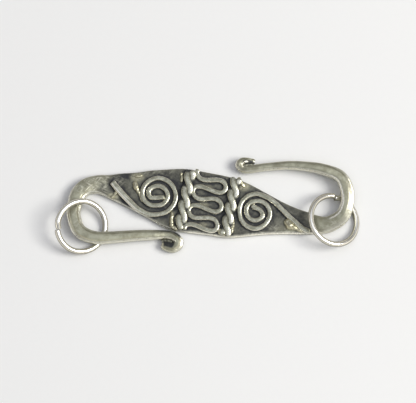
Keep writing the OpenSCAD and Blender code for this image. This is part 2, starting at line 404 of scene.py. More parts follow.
def makeSilver(name, s):
    material = bpy.data.materials.new(name)
    material.use_nodes = True
    tree = material.node_tree
    shader = tree.nodes["Principled BSDF"]
    # edge holds rubbed wear and painted highlights
    edge = attribute(tree, "edge")
    scratch = useGroup(tree, scratchGroup, Scale=s["scratchScale"], Stretch=s["stretch"], Turn=s["turn"])
    brushed = mathNode(tree, "ADD", attribute(tree, "brushed"), s["brushedAll"], clamp=True)
    lines = mathNode(tree, "MULTIPLY", scratch.outputs["Lines"], brushed)
    tarnish = useGroup(
        tree, tarnishGroup, Metal=s["metal"] + (1,), Warm=s["warm"] + (1,), Dark=s["dark"] + (1,),
        Rubbed=s["rubbed"] + (1,), Cream=s["cream"] + (1,), Patina=attribute(tree, "patinaAndShade"), Edge=edge,
        Solder=attribute(tree, "solder"), Lines=lines, Mottle_Scale=s["mottleScale"], Break_Up=s["breakUp"],
    )
    grain = noiseNode(tree, objectPlace(tree), s["grainScale"], 3.0, 0.6)
    deep = mathNode(tree, "ADD", brushed, s["leastScratch"])
    height = mathNode(tree, "MULTIPLY", scratch.outputs["Height"], deep)
    height = mathNode(tree, "MULTIPLY_ADD", grain, s["grainHeight"], height)
    bump = addNode(tree, "ShaderNodeBump")
    feed(tree, bump, Strength=s["bump"], Distance=s["bumpDepth"] * mm, Height=height)
    mask = tarnish.outputs["Mask"]
    rough = mixValue(tree, mask, s["rough"], s["darkRough"])
    rough = mathNode(tree, "MULTIPLY_ADD", mathNode(tree, "SUBTRACT", grain, 0.5), s["grainRough"], rough)
    rough = mathNode(tree, "MULTIPLY_ADD", edge, s["edgeRough"], rough)
    feed(
        tree, shader, Base_Color=tarnish.outputs["Color"], Roughness=rough, Normal=bump.outputs["Normal"],
        Metallic=mixValue(tree, mask, s["metallic"], s["darkMetallic"]),
    )
    shader.inputs["Specular IOR Level"].default_value = s["gloss"]
    return material


silverBase = {
    "metal": (0.44, 0.438, 0.335), "warm": (0.33, 0.322, 0.235), "dark": (0.033, 0.035, 0.039),
    "rubbed": (0.91, 0.89, 0.79), "cream": (0.48, 0.46, 0.33), "mottleScale": 1000.0, "breakUp": 0.6,
    "scratchScale": 5500.0, "stretch": 10.0, "turn": 0.75, "brushedAll": 0.15, "grainScale": 3400.0,
    "grainHeight": 2.0, "bump": 0.8, "bumpDepth": 0.02, "metallic": 0.95, "darkMetallic": 0.3,
    "rough": 0.36, "darkRough": 0.5, "gloss": 0.3, "leastScratch": 0.2, "grainRough": 0.3,
    "edgeRough": -0.10,
}
plateSilver = makeSilver("plateSilver", silverBase)
wireSilver = makeSilver("wireSilver", {
    **silverBase, "metal": (0.47, 0.478, 0.385), "warm": (0.32, 0.322, 0.245), "mottleScale": 1300.0,
    "breakUp": 0.45, "rough": 0.30, "bump": 0.5,
})
solderSilver = makeSilver("solderSilver", {
    **silverBase, "metal": (0.54, 0.52, 0.39), "warm": (0.38, 0.36, 0.25), "mottleScale": 1500.0,
    "rough": 0.40, "bump": 0.6,
})
# the rings' dark colour is painted shade on their flanks and also darkens their cut ends
ringSilver = makeSilver("ringSilver", {
    **silverBase, "metal": (0.92, 0.90, 0.84), "warm": (0.86, 0.83, 0.74), "rubbed": (0.96, 0.95, 0.90),
    "rough": 0.24, "breakUp": 0.06, "bump": 0.12, "dark": (0.15, 0.138, 0.09), "mottleScale": 900.0,
})
print("finishes ready")


# Wires laid on the plate

wireSet = {
    "plateTop": 1.2, "wire": 0.70, "sink": 0.08, "sides": 28, "spacing": 0.08, "squareness": 3.0,
    "height": 0.86, "waver": 0.03, "waverSize": 1.7, "uneven": 0.07, "unevenSize": 0.9, "tipLength": 0.24,
    "tipSize": 0.15,
    "flare": 0.12, "flareRange": (0.25, 0.95), "flareMiddle": 0.6, "flareSwing": 0.6, "flareSize": 1.1,
    # paint, with ranges in shares of the radius: dark recess, solder that ran, a worn side that is also a
    # painted highlight, painted highlights on the flanks, painted shade on the crown
    "recess": (-0.85, -0.2), "recessDark": 0.95, "film": 0.06, "brushed": 0.4,
    "solder": 0.6, "solderRange": (0.15, 0.5), "solderSize": 1.3,
    "wornSide": (0.20, 0.75), "wornHeight": (-0.9, -0.4),
    "flankHighlight": 0.9, "flankRange": (0.50, 0.72), "flankHeight": (0, 0.35), "flankMiddle": 0.75,
    "flankSwing": 0.35, "crownShade": 0.20, "crownRange": (0.30, 0.62),
}
waveSet = {
    "start": (0.15, 3.73), "swing": 2.27, "pitch": 2.81, "lean": 0.22, "round": 0.51, "sag": 0.45,
    "from": -110, "to": 995, "step": 5,
}
spiralSet = {
    "turnStep": 30, "smooth": 8, "wire": 0.98,
    "thinning": (0.02, 0.3), "rubEnds": (0.13, 0.25),  # in shares of the run
}
leftSpiral = {  # tail from its free end, turns as angle and radius about the centre, then the inner end
    "tail": [(-14.40, 3.45), (-13.68, 2.56), (-12.51, 1.24), (-11.05, -0.22), (-10.32, -0.73),
             (-9.59, -1.14), (-8.85, -1.37)],
    "centre": (-7.83, 1.39),
    "turns": [(270, 2.78), (360, 2.78), (450, 2.63), (530, 2.20), (580, 1.78), (630, 1.42), (720, 1.61),
              (810, 1.46), (870, 1.38)],
    "inner": [(-8.85, 1.27), (-8.30, 1.10), (-6.66, 1.17)],
    "tailWire": 1.40, "tailRub": 1.0,
}
rightSpiral = {
    "tail": [(14.56, -3.95), (13.83, -3.66), (13.02, -3.12), (11.45, -1.66), (10.00, -0.20),
             (9.30, 0.45), (8.60, 0.95), (7.90, 1.32), (7.20, 1.58)],
    "centre": (6.57, -0.95),
    "turns": [(90, 2.63), (180, 2.34), (270, 2.53), (360, 2.11), (450, 1.54), (540, 1.36), (630, 1.29),
              (690, 1.25)],
    "inner": [(7.40, -0.90), (6.95, -0.55), (6.51, -0.37), (6.00, 0.00)],
    "tailWire": 1.10, "tailRub": 0.3,
}
metalPoints = []  # middle and radius of every wire and strand, for the dark recess beside it


def wireOutline(sides, squareness):  # unit outline, a little squarer than a circle
    points = []
    for k in range(sides):
        a = 2 * math.pi * k / sides
        c, s = math.cos(a), math.sin(a)
        r = (abs(c) ** squareness + abs(s) ** squareness) ** (-1 / squareness)
        points.append((r * c, r * s))
    return points


def wireShade(p, q, left, spot, wearAndHighlight, s, seed):  # patina and painted shade, edge wear and painted highlights, solder and brushed at one point
    low = 1 - smoothStep(q, *s["recess"])
    ran = s["solder"] * smoothStep(wobble(spot, s["solderSize"], seed + 4), *s["solderRange"]) * low
    # the worn side is rubbed bright and also a painted highlight along the lower-left side
    worn = wearAndHighlight * smoothStep(-p * (left.x + left.y), *s["wornSide"]) * smoothStep(q, *s["wornHeight"])
    # painted highlights along both shoulders, stronger on the side towards +x
    swing = s["flankMiddle"] + s["flankSwing"] * left.x * p
    flankHighlight = s["flankHighlight"] * smoothStep(abs(p), *s["flankRange"]) * smoothStep(q, *s["flankHeight"]) * swing
    # painted shade on the crown
    crown = s["crownShade"] * (1 - smoothStep(abs(p), *s["crownRange"]))
    return s["recessDark"] * low * (1 - worn) + s["film"] + crown, max(worn, flankHighlight), ran, s["brushed"]


def layWire(name, path, thick, wearAndHighlight, s, seed):  # thick and rub give the size, and the wear with its painted highlight, along the run
    rows = evenRows(path, s["spacing"])
    outline = wireOutline(s["sides"], s["squareness"])
    tip = s["tipLength"] / s["spacing"]
    last = len(rows) - 1
    rings, shades = [], []
    for i, (x, y) in enumerate(rows):
        full = thick(i / last) / 2
        taper = roundedTip(min(i, last - i) / tip, s["tipSize"])
        r = full * taper * (1 + s["uneven"] * wobble((x, y, 0), s["unevenSize"], seed))
        left = leftOf(headingOf(rows, i))
        middle = Vector((x, y, s["plateTop"] + full * s["height"] - s["sink"]))
        middle += left * s["waver"] * wobble((x, y, 5), s["waverSize"], seed)
        metalPoints.append((middle.copy(), full))
        ring, shade = [], []
        for p, q in outline:
            spot = (x, y, 3 if p > 0 else -3)  # each side of the wire has its own noise
            swing = s["flareMiddle"] + s["flareSwing"] * wobble(spot, s["flareSize"], seed + 2)
            spread = s["flare"] * smoothStep(-q, *s["flareRange"]) * swing
            ring.append(middle + left * r * p * (1 + spread) + Vector((0, 0, r * s["height"] * q)))
            shade.append(wireShade(p, q, left, spot, wearAndHighlight(i / last), s, seed))
        rings.append(ring)
        shades.append(shade)
    finishPiece(rolledSkin(rings, shades), name, wireSilver)


def radiusAt(turns, angle):  # between the rows of a spiral's turns
    for (a, r), (b, q) in zip(turns, turns[1:]):
        if angle <= b:
            return mixed(r, q, (angle - a) / (b - a))
    return turns[-1][1]


def spiralPath(spiral, s):
    (cx, cy), turns = spiral["centre"], spiral["turns"]
    turned = []
    for degrees in range(turns[0][0], turns[-1][0] + 1, s["turnStep"]):
        a, r = math.radians(degrees), radiusAt(turns, degrees)
        turned.append((cx + r * math.cos(a), cy + r * math.sin(a)))
    return smoothRows(spiral["tail"] + turned + spiral["inner"], s["smooth"])


def wavePath(s):
    points = []
    for degrees in range(s["from"], s["to"] + 1, s["step"]):
        u = math.radians(degrees)
        down = s["pitch"] * degrees / 360
        points.append((
            s["start"][0] + s["swing"] * math.sin(u) - s["lean"] * down,
            s["start"][1] + s["round"] * math.sin(2 * u) - s["sag"] * math.sin(u) - down,
        ))
    return points


def spiralThickness(spiral, s):
    return lambda t: wireSet["wire"] * mixed(spiral["tailWire"], s["wire"], smoothStep(t, *s["thinning"]))


# wear on the tail, which also paints a highlight along its lower-left side
def spiralRub(spiral, s):
    return lambda t: spiral["tailRub"] * (1 - smoothStep(t, *s["rubEnds"]))


layWire("serpentine", wavePath(waveSet), lambda t: wireSet["wire"], lambda t: 0.0, wireSet, 1)
for seed, (name, spiral) in enumerate((("left_spiral", leftSpiral), ("right_spiral", rightSpiral))):
    thick, wearAndHighlight = spiralThickness(spiral, spiralSet), spiralRub(spiral, spiralSet)
    layWire(name, spiralPath(spiral, spiralSet), thick, wearAndHighlight, wireSet, seed + 2)


# Ropes of two strands each

ropeSet = {
    "strand": 0.88, "offset": 0.48, "press": 0.74, "sides": 24, "stepsPerTurn": 60, "uneven": 0.05,
    "unevenSize": 1.1, "tipLength": 0.3, "tipSize": 0.2, "worn": 1.85, "wornAway": 0.5,
    # paint: heights of recess and crowns, the groove between the strands, painted shade where a strand
    # turns under, a painted highlight on the side that the light meets
    "recess": (1.3, 1.62), "shadeUnder": (0.05, 0.6), "groove": (0.02, 0.26), "film": 0.08, "brushed": 0.5,
    "crownRub": 0.15, "crown": (1.7, 2.0), "litSide": (0.86, -0.5, 0), "lit": (0.05, 0.6),
}
ropes = {
    "left_rope": {"top": (-2.86, 5.10), "foot": (-4.54, -3.60), "lay": 4.3, "turn": 70, "gleam": 0.45},
    "right_rope": {"top": (3.78, 3.95), "foot": (2.10, -4.50), "lay": 4.0, "turn": 30, "gleam": 0.65},
}


def strandShade(point, axis, groove, below, gleam, s):  # patina and painted shade, edge wear and painted highlights, solder and brushed at one point
    low = 1 - smoothStep(point.z, *s["recess"])
    # painted shade where the strand turns under
    shadeUnder = smoothStep(below, *s["shadeUnder"])
    # painted highlight on the side that the light meets
    lit = smoothStep((point - axis).dot(Vector(s["litSide"])), *s["lit"])
    lit = lit * (1 - low) * (1 - groove) * (1 - shadeUnder)
    edge = max(s["crownRub"] * smoothStep(point.z, *s["crown"]), gleam * lit)
    return min(s["film"] + groove + low + shadeUnder, 1), edge, 0, s["brushed"]


def makeStrand(rope, s, turn, seed):
    top, foot = Vector(rope["top"] + (0,)), Vector(rope["foot"] + (0,))
    run = (foot - top).length
    along = (foot - top) / run
    left = Vector((-along.y, along.x, 0))
    up = Vector((0, 0, 1))
    out = s["strand"] * s["offset"]
    floor = wireSet["plateTop"] - wireSet["sink"]
    z = wireSet["plateTop"] + out + s["strand"] / 2 - wireSet["sink"]
    steps = math.ceil(s["stepsPerTurn"] * run / rope["lay"])
    tip = s["stepsPerTurn"] * s["tipLength"] / rope["lay"]
    rings, shades = [], []
    for i in range(steps + 1):
        d = run * i / steps
        a = math.radians(turn) - 2 * math.pi * d / rope["lay"]
        radial = left * math.cos(a) + up * math.sin(a)
        ahead = along + (up * math.cos(a) - left * math.sin(a)) * (-2 * math.pi / rope["lay"]) * out
        across = ahead.normalized().cross(radial)
        axis = Vector((top.x, top.y, z)) + along * d
        middle = axis + radial * out
        metalPoints.append((middle.copy(), s["strand"] / 2))
        taper = roundedTip(min(i, steps - i) / tip, s["tipSize"])
        r = s["strand"] / 2 * taper * (1 + s["uneven"] * wobble(middle, s["unevenSize"], seed))
        ring, shade = [], []
        for k in range(s["sides"]):
            b = 2 * math.pi * k / s["sides"]
            point = middle + radial * r * math.cos(b) + across * r * math.sin(b)
            toOther = point - axis + radial * out
            toOther -= along * toOther.dot(along)
            groove = 1 - smoothStep(toOther.length - s["strand"] / 2, *s["groove"])
            point.z = floor + (point.z - floor) * s["press"]
            point.z -= s["wornAway"] * max(point.z - s["worn"], 0)  # the crowns are worn flatter still
            ring.append(point)
            shade.append(strandShade(point, axis, groove, -math.sin(a), rope["gleam"], s))
        rings.append(ring)
        shades.append(shade)
    return rolledSkin(rings, shades)


def joinMeshes(parts):  # several bmeshes into one
    bm = bmesh.new()
    for part in parts:
        mesh = bpy.data.meshes.new("part")
        part.to_mesh(mesh)
        part.free()
        bm.from_mesh(mesh)
        bpy.data.meshes.remove(mesh)
    return bm


for seed, (name, rope) in enumerate(ropes.items()):
    strands = [makeStrand(rope, ropeSet, rope["turn"] + half, seed + 4 + half) for half in (0, 180)]
    finishPiece(joinMeshes(strands), name, wireSilver)


# Plate and hooks, forged from one bar

bodySet = {
    "plate": 1.2, "bar": 1.45, "smooth": 6, "spacing": 0.16, "turnPasses": 40, "skinPasses": 5,
    # one cut: rounded foot, points along top and bottom, upper corners and the facets beyond them
    "low": 0.12, "topPoints": 56, "bottomPoints": 9, "cornerPoints": 7, "corner": 0.30, "cornerDrop": 0.85,
    "widest": 0.92, "steep": 0.80, "slope": 0.36, "steepEnds": (-5, 5),
    # relief: crown of the bars, hammered lumps, planishing marks, the lumpy curl on the right
    "crown": 0.14, "crownEnds": 0.35, "topFrom": (0.3, 0.75), "lump": 0.035, "lumpSize": 2.4,
    "plateLump": 0.5, "lumpSpread": 0.6, "planish": 0.014, "planishSize": 0.7, "curlLump": 0.06,
    "curlSize": 0.42, "curlLength": 4.6, "tipLength": 0.3, "tipSize": 0.72,
    # patina on the plate and in its recesses, on the sides, and less where a highlight is painted
    "film": 0.02, "plateDark": 0.80, "recessDark": 0.28, "recess": (-0.1, 0.55), "sideDark": 0.35,
    "plateEnds": (0.05, 0.85), "plateWaver": 0.25, "plateWaverSize": 1.6, "highlightClean": 0.9,
    "darkDulls": 0.7,
    # painted shade inside the curls and on the arm beside them, by distance from the tip
    "stubDark": -0.35, "bendDark": 0.5, "insideFade": 0.35, "stubLength": (1.4, 2.4),
    "bendLength": (3.0, 3.8), "beside": (0.30, 0.70), "armDark": ((2.8, 3.4), (5.5, 8.0)),
    "leftArm": 1.0, "rightArm": 0.15,
    # bright edges: rubbed corners and facets, rims painted lighter or darker by the way that they face, a
    # painted highlight line on the ridge of the right bend
    "cornerFade": 0.7, "cornerFadeRange": (0.87, 1), "facetEdge": (0.45, 0.2), "facetWidth": (0.45, 0.75),
    "facetRub": 0.45, "rim": (0.95, 0.22), "rimEnds": (0.2, 0.9), "barRim": 0.35, "barRimEnds": (0.5, 0.95),
    "tipRim": 0.3, "ridge": 1.0, "ridgeIn": (0.12, 0.42), "ridgeRun": (-3.5, 1.5),
    "ridgeFrom": (17.0, 17.8), "ridgeWidth": (0.05, 0.17),
}
# from the left tip to the right tip: x, y, width, height of the underside, bar 0 to 1, then how far the
# rounding reaches in from the left and from the right of the run
bodyRows = [
    (-7.10, -5.78, 1.10, 0.20, 1, 0.24, 0.30),
    (-6.37, -6.03, 1.34, 0.22, 1, 0.24, 0.36),
    (-5.58, -6.27, 1.40, 0.28, 1, 0.26, 0.48),
    (-4.86, -6.00, 1.40, 0.36, 1, 0.28, 0.70),
    (-4.60, -5.44, 1.40, 0.45, 1, 0.30, 0.80),
    (-4.90, -4.88, 1.34, 0.53, 1, 0.30, 0.64),
    (-5.63, -4.48, 1.26, 0.60, 1, 0.32, 0.44),
    (-6.66, -4.35, 1.24, 0.68, 1, 0.34, 0.38),
    (-8.12, -4.42, 1.38, 0.78, 1, 0.38, 0.38),
    (-11.05, -4.55, 1.50, 0.90, 1, 0.40, 0.40),
    (-13.98, -4.78, 1.65, 0.97, 1, 0.42, 0.42),
    (-16.90, -4.84, 1.82, 0.95, 1, 0.46, 0.46),
    (-19.15, -3.78, 1.96, 0.80, 1, 0.50, 0.46),
    (-20.00, -1.39, 1.98, 0.60, 1, 0.45, 0.56),
    (-19.87, 0.07, 2.10, 0.45, 1, 0.38, 0.60),
    (-19.50, 1.46, 2.20, 0.33, 1, 0.32, 0.56),
    (-18.80, 2.38, 2.27, 0.22, 1, 0.30, 0.44),
    (-17.90, 2.96, 2.37, 0.12, 1, 0.30, 0.34),
    (-16.20, 3.16, 2.75, 0.04, 0.6, 0.30, 0.30),
    (-14.70, 2.84, 3.47, 0, 0.2, 0.28, 0.26),
    (-13.20, 2.58, 4.42, 0, 0, 0.26, 0.24),
    (-11.05, 2.05, 5.70, 0, 0, 0.24, 0.24),
    (-8.85, 1.62, 7.20, 0, 0, 0.24, 0.24),
    (-6.66, 1.07, 8.56, 0, 0, 0.24, 0.24),
    (-4.90, 0.85, 9.25, 0, 0, 0.24, 0.24),
    (-3.00, 0.70, 9.40, 0, 0, 0.24, 0.24),
    (-0.07, 0.25, 9.20, 0, 0, 0.24, 0.24),
    (2.12, -0.14, 9.10, 0, 0, 0.24, 0.24),
    (4.32, -0.40, 8.40, 0, 0, 0.24, 0.26),
    (6.50, -0.79, 7.14, 0, 0, 0.24, 0.28),
    (8.70, -1.32, 5.75, 0, 0, 0.24, 0.28),
    (10.90, -1.90, 4.50, 0, 0, 0.24, 0.28),
    (13.10, -2.39, 3.60, 0, 0, 0.26, 0.30),
    (14.30, -2.58, 3.20, 0, 0.2, 0.26, 0.34),
    (15.40, -2.78, 2.66, 0.08, 0.6, 0.26, 0.44),
    (17.20, -2.82, 2.27, 0.35, 1, 0.28, 0.70),
    (19.20, -1.71, 2.10, 0.88, 1, 0.30, 0.92),
    (20.00, 0.37, 1.90, 1.38, 1, 0.34, 0.95),
    (19.90, 2.27, 1.90, 1.50, 1, 0.38, 0.80),
    (19.00, 4.10, 1.75, 1.48, 1, 0.40, 0.50),
    (16.80, 5.08, 1.56, 1.40, 1, 0.40, 0.38),
    (14.60, 5.58, 1.38, 1.30, 1, 0.38, 0.36),
    (11.60, 5.86, 1.19, 1.15, 1, 0.36, 0.36),
    (8.70, 5.70, 1.10, 1.00, 1, 0.36, 0.34),
    (6.95, 5.50, 1.10, 0.92, 1, 0.36, 0.34),
    (5.78, 5.30, 1.06, 0.85, 1, 0.36, 0.34),
    (4.74, 5.36, 1.09, 0.80, 1, 0.44, 0.30),
    (4.15, 5.93, 1.18, 0.78, 1, 0.48, 0.30),
    (4.50, 6.50, 1.10, 0.80, 1, 0.40, 0.30),
    (5.36, 6.60, 1.00, 0.85, 1, 0.32, 0.30),
    (6.50, 6.45, 0.80, 0.90, 1, 0.28, 0.28),
]
solderFlows = [  # cream patches where solder ran: x, y, half width, half height, strength
    (-10.75, 4.25, 1.2, 0.8, 0.7),
    (-14.25, 1.35, 1.0, 0.6, 0.7),
    (4.85, 2.95, 1.0, 0.9, 0.8),
    (-1.00, 0.05, 0.9, 0.5, 0.45),
    (-1.10, -2.85, 0.7, 0.4, 0.45),
    (-0.30, 2.70, 0.8, 0.4, 0.35),
    (12.00, -3.20, 1.2, 0.6, 0.6),
    (-5.60, -2.20, 0.4, 1.6, 0.5),
]
highlightPlaces = [  # painted highlights on the curls, in the same terms
    (4.80, 6.00, 0.30, 0.40, 1.0),
    (5.25, 6.42, 0.32, 0.16, 1.0),
    (6.42, 6.42, 0.24, 0.16, 0.7),
    (-4.24, -5.45, 0.32, 1.00, 1.0),
    (-5.40, -5.30, 0.26, 0.14, 0.8),
    (-7.06, -5.80, 0.22, 0.55, 1.0),
]
fadedPlaces = [  # patina worn thin, in the same terms
    (-15.4, 4.1, 1.4, 1.0, 0.28),
    (10.9, -3.5, 1.7, 0.6, 0.30),
    (16.7, -2.4, 1.5, 1.0, 0.15),
]
tarnishedAndShadedPlaces = [  # darker metal, in the same terms; the first is a painted shadow below the left spiral's tail
    (-12.5, 0.1, 0.9, 0.9, 0.40),
    (10.5, 5.8, 7.0, 1.4, 0.10),
    (4.9, 5.3, 1.0, 0.5, 0.35),
    (3.9, 5.7, 0.5, 0.9, 0.25),
    (-5.8, -6.3, 1.3, 0.5, 0.25),
    (-17.5, 3.0, 3.6, 1.9, 0.24),
    (-7.5, -4.5, 2.6, 0.9, 0.35),
    (-12.0, 4.6, 2.4, 0.8, 0.22),
    (-4.9, 2.0, 1.2, 2.6, 0.15),
]
brushedPlaces = [  # metal scraped bright by file and brush, in the same terms
    (-17.2, 3.0, 3.2, 2.0, 0.7),
    (-14.8, 3.7, 2.4, 1.4, 1.0),
    (-8.0, 5.0, 3.5, 0.7, 0.5),
    (9.0, -3.5, 3.2, 0.9, 0.7),
    (-19.6, -1.5, 1.6, 3.0, 0.6),
    (17.0, -3.0, 2.0, 1.2, 0.7),
]


def footCorner(middle, low, angles):  # rounded lower corner about its middle
    return [(middle + low * math.cos(a), low + low * math.sin(a), 0.0) for a in map(math.radians, angles)]


def upperEdge(side, half, thick, wanted, facet, s):  # from outside in: corner, then a slope if it is wide
    reach = min(wanted, half * s["widest"])
    corner = min(reach, s["corner"])
    slope = (reach - corner) * facet
    last = s["cornerPoints"] - 1
    edge = []
    for k in range(last + 1):
        a = math.pi / 2 * k / last
        x = half - corner + corner * math.cos(a)
        up = thick - slope - corner * s["cornerDrop"] * (1 - math.sin(a))
        edge.append((side * x, up, 1 - s["cornerFade"] * smoothStep(math.sin(a), *s["cornerFadeRange"])))
    for k in range(1, last + 1):
        t = k / last
        x = mixed(half - corner, half - reach, t)
        edge.append((side * x, thick - slope * (1 - t), mixed(*s["facetEdge"], t)))
    return edge


def cutOutline(width, thick, leftEdge, rightEdge, facet, s):  # across, up, and 1 on the rounded upper edges
    half, low = width / 2, s["low"]
    leftIn = half - min(leftEdge, half * s["widest"])
    rightIn = min(rightEdge, half * s["widest"]) - half
    points = footCorner(half - low, low, (-90, -45, 0))
    points += upperEdge(1, half, thick, leftEdge, facet, s)
    for k in range(1, s["topPoints"] + 1):
        points.append((mixed(leftIn, rightIn, k / (s["topPoints"] + 1)), thick, 0.0))
    points += upperEdge(-1, half, thick, rightEdge, facet, s)[::-1]
    points += footCorner(low - half, low, (180, 225, 270))
    for k in range(1, s["bottomPoints"] + 1):
        points.append((mixed(low - half, half - low, k / (s["bottomPoints"] + 1)), 0.0, 0.0))
    return points


def cutTurns(rows, passes):  # angle of each cut: square to a bar, straight across on the plate
    turns, h = [], 0
    for i, row in enumerate(rows):
        raw = headingOf(rows, i)
        h = raw + 2 * math.pi * round((h - raw) / (2 * math.pi))
        turns.append(h * clipped(row[4]))
    return relaxed(turns, passes)


def recessTree():  # finds the wire or strand nearest to a place on the plate
    tree = kdtree.KDTree(len(metalPoints))
    for i, (point, _) in enumerate(metalPoints):
        tree.insert(Vector((point.x, point.y, 0)), i)
    tree.balance()
    return tree


def curlPatina(inner, fromTip, arm, s):  # painted shade inside a curl, and by its share arm on the outer edge beside it
    start = mixed(s["stubDark"], s["bendDark"], smoothStep(fromTip, *s["stubLength"]))
    inside = smoothStep(inner, start, start + s["insideFade"]) * (1 - smoothStep(fromTip, *s["bendLength"]))
    begin, finish = s["armDark"]
    beside = smoothStep(-inner, *s["beside"]) * smoothStep(fromTip, *begin)
    beside *= 1 - smoothStep(fromTip, *finish)
    return max(inside, beside * arm)


def edgeShine(point, place, left, bar, width, fromTip, s):  # how bright an edge is at one point: rubbed corners and facets, rims with painted light and shade by the way that they face, a painted highlight line on the right bend's ridge
    share, high, edge, wide = place
    # rims painted lighter or darker by the way that they face
    facing = left.y if share > 0 else -left.y
    rim = mixed(*s["rim"], smoothStep(facing, *s["rimEnds"]))
    rim -= s["barRim"] * bar * smoothStep(-facing, *s["barRimEnds"])
    rim *= mixed(s["tipRim"], 1, smoothStep(fromTip, *s["stubLength"]))
    # a painted highlight line along the ridge of the right bend
    line = mixed(*s["ridgeIn"], smoothStep(-point.y, *s["ridgeRun"]))
    ridge = 1 - smoothStep(abs(width / 2 * (1 - share) - line), *s["ridgeWidth"])
    ridge = s["ridge"] * high * smoothStep(point.x, *s["ridgeFrom"]) * ridge
    return max(mixed(edge * rim, min(edge * 2, 1) * s["facetRub"], wide), ridge)


def paintBody(point, bar, high, dark, shine, tree, s):  # patina and painted shade, edge wear and painted highlights, solder and brushed at one point
    x, y = point.x, point.y
    waver = s["plateWaver"] * wobble(point, s["plateWaverSize"], 12)
    onPlate = 1 - smoothStep(bar + waver, *s["plateEnds"])
    _, nearest, distance = tree.find(Vector((x, y, 0)))
    near = 1 - smoothStep(distance - metalPoints[nearest][1], *s["recess"])
    patinaAndShade = mixed(s["film"], s["plateDark"] + s["recessDark"] * near, onPlate)
    patinaAndShade *= mixed(s["sideDark"], 1, high)
    patinaAndShade = max(patinaAndShade + (inPlaces(x, y, tarnishedAndShadedPlaces) - inPlaces(x, y, fadedPlaces)) * high, 0)
    # painted highlights on the curls clear the patina and brighten the metal
    rubbed = inPlaces(x, y, highlightPlaces) * high
    patinaAndShade = max(patinaAndShade, dark) * (1 - s["highlightClean"] * rubbed)
    shine = max(shine * (1 - s["darkDulls"] * dark), rubbed)
    return patinaAndShade, shine, inPlaces(x, y, solderFlows) * high, inPlaces(x, y, brushedPlaces)


def cutBody(rows, turns, s):  # rings of points, and for each point its share across, height, edge and facet
    rings, tops = [], []
    for (x, y, width, lift, bar, leftEdge, rightEdge), turn in zip(rows, turns):
        thick = min(mixed(s["plate"], s["bar"], clipped(bar)), width)
        facet = mixed(s["steep"], s["slope"], smoothStep(x, *s["steepEnds"]))
        ring, top = [], []
        for across, up, edge in cutOutline(width, thick, leftEdge, rightEdge, facet, s):
            share = across / (width / 2)
            low, full = s["topFrom"]
            high = smoothStep(up, thick * low, thick * full)
            crown = high * s["crown"] * clipped(bar) * (s["crownEnds"] - share ** 2) * (1 - edge)
            ring.append(Vector((x, y, max(lift, 0) + up + crown)) + leftOf(turn) * across)
            wide = smoothStep(leftEdge if share > 0 else rightEdge, *s["facetWidth"])
            top.append((share, high, edge, wide))
        rings.append(ring)
        tops.append(top)
    evened = [relaxed(list(run), s["skinPasses"]) for run in zip(*rings)]
    return [list(ring) for ring in zip(*evened)], tops


def makeBody(rows, s):
    rows = evenRows(smoothRows(rows, s["smooth"]), s["spacing"])
    turns = cutTurns(rows, s["turnPasses"])
    rings, tops = cutBody(rows, turns, s)
    tree = recessTree()
    last = len(rows) - 1
    shades = []
    for i, (ring, top) in enumerate(zip(rings, tops)):
        width, bar, left = rows[i][2], clipped(rows[i][4]), leftOf(turns[i])
        fromLeft, fromRight = i * s["spacing"], (last - i) * s["spacing"]
        fromTip = min(fromLeft, fromRight)
        onCurl = s["curlLump"] * (1 - smoothStep(fromRight, s["curlLength"] - 1, s["curlLength"]))
        middle = sum(ring, Vector()) / len(ring)
        shade = []
        for j, (point, place) in enumerate(zip(ring, top)):
            share, high = place[:2]
            lump = s["lump"] * wobble(point, s["lumpSize"], 8)
            lump += s["planish"] * wobble(point, s["planishSize"], 9)
            lump = lump * mixed(s["plateLump"], 1, bar) + onCurl * wobble(point, s["curlSize"], 10)
            point = point + (Vector((0, 0, high)) + left * share * s["lumpSpread"]) * lump
            point = middle.lerp(point, roundedTip(fromTip / s["tipLength"], s["tipSize"]))
            # painted shade inside the curls and along the left arm beside its curl
            dark = curlPatina(share, fromLeft, s["leftArm"], s)
            dark = max(dark, curlPatina(-share, fromRight, s["rightArm"], s))
            shine = edgeShine(point, place, left, bar, width, fromTip, s)
            shade.append(paintBody(point, bar, high, dark, shine, tree, s))
            ring[j] = point
        shades.append(shade)
    finishPiece(rolledSkin(rings, shades), "plate_and_hooks", plateSilver)


makeBody(bodyRows, bodySet)


# Solder: beads, spurs and webs where wires end

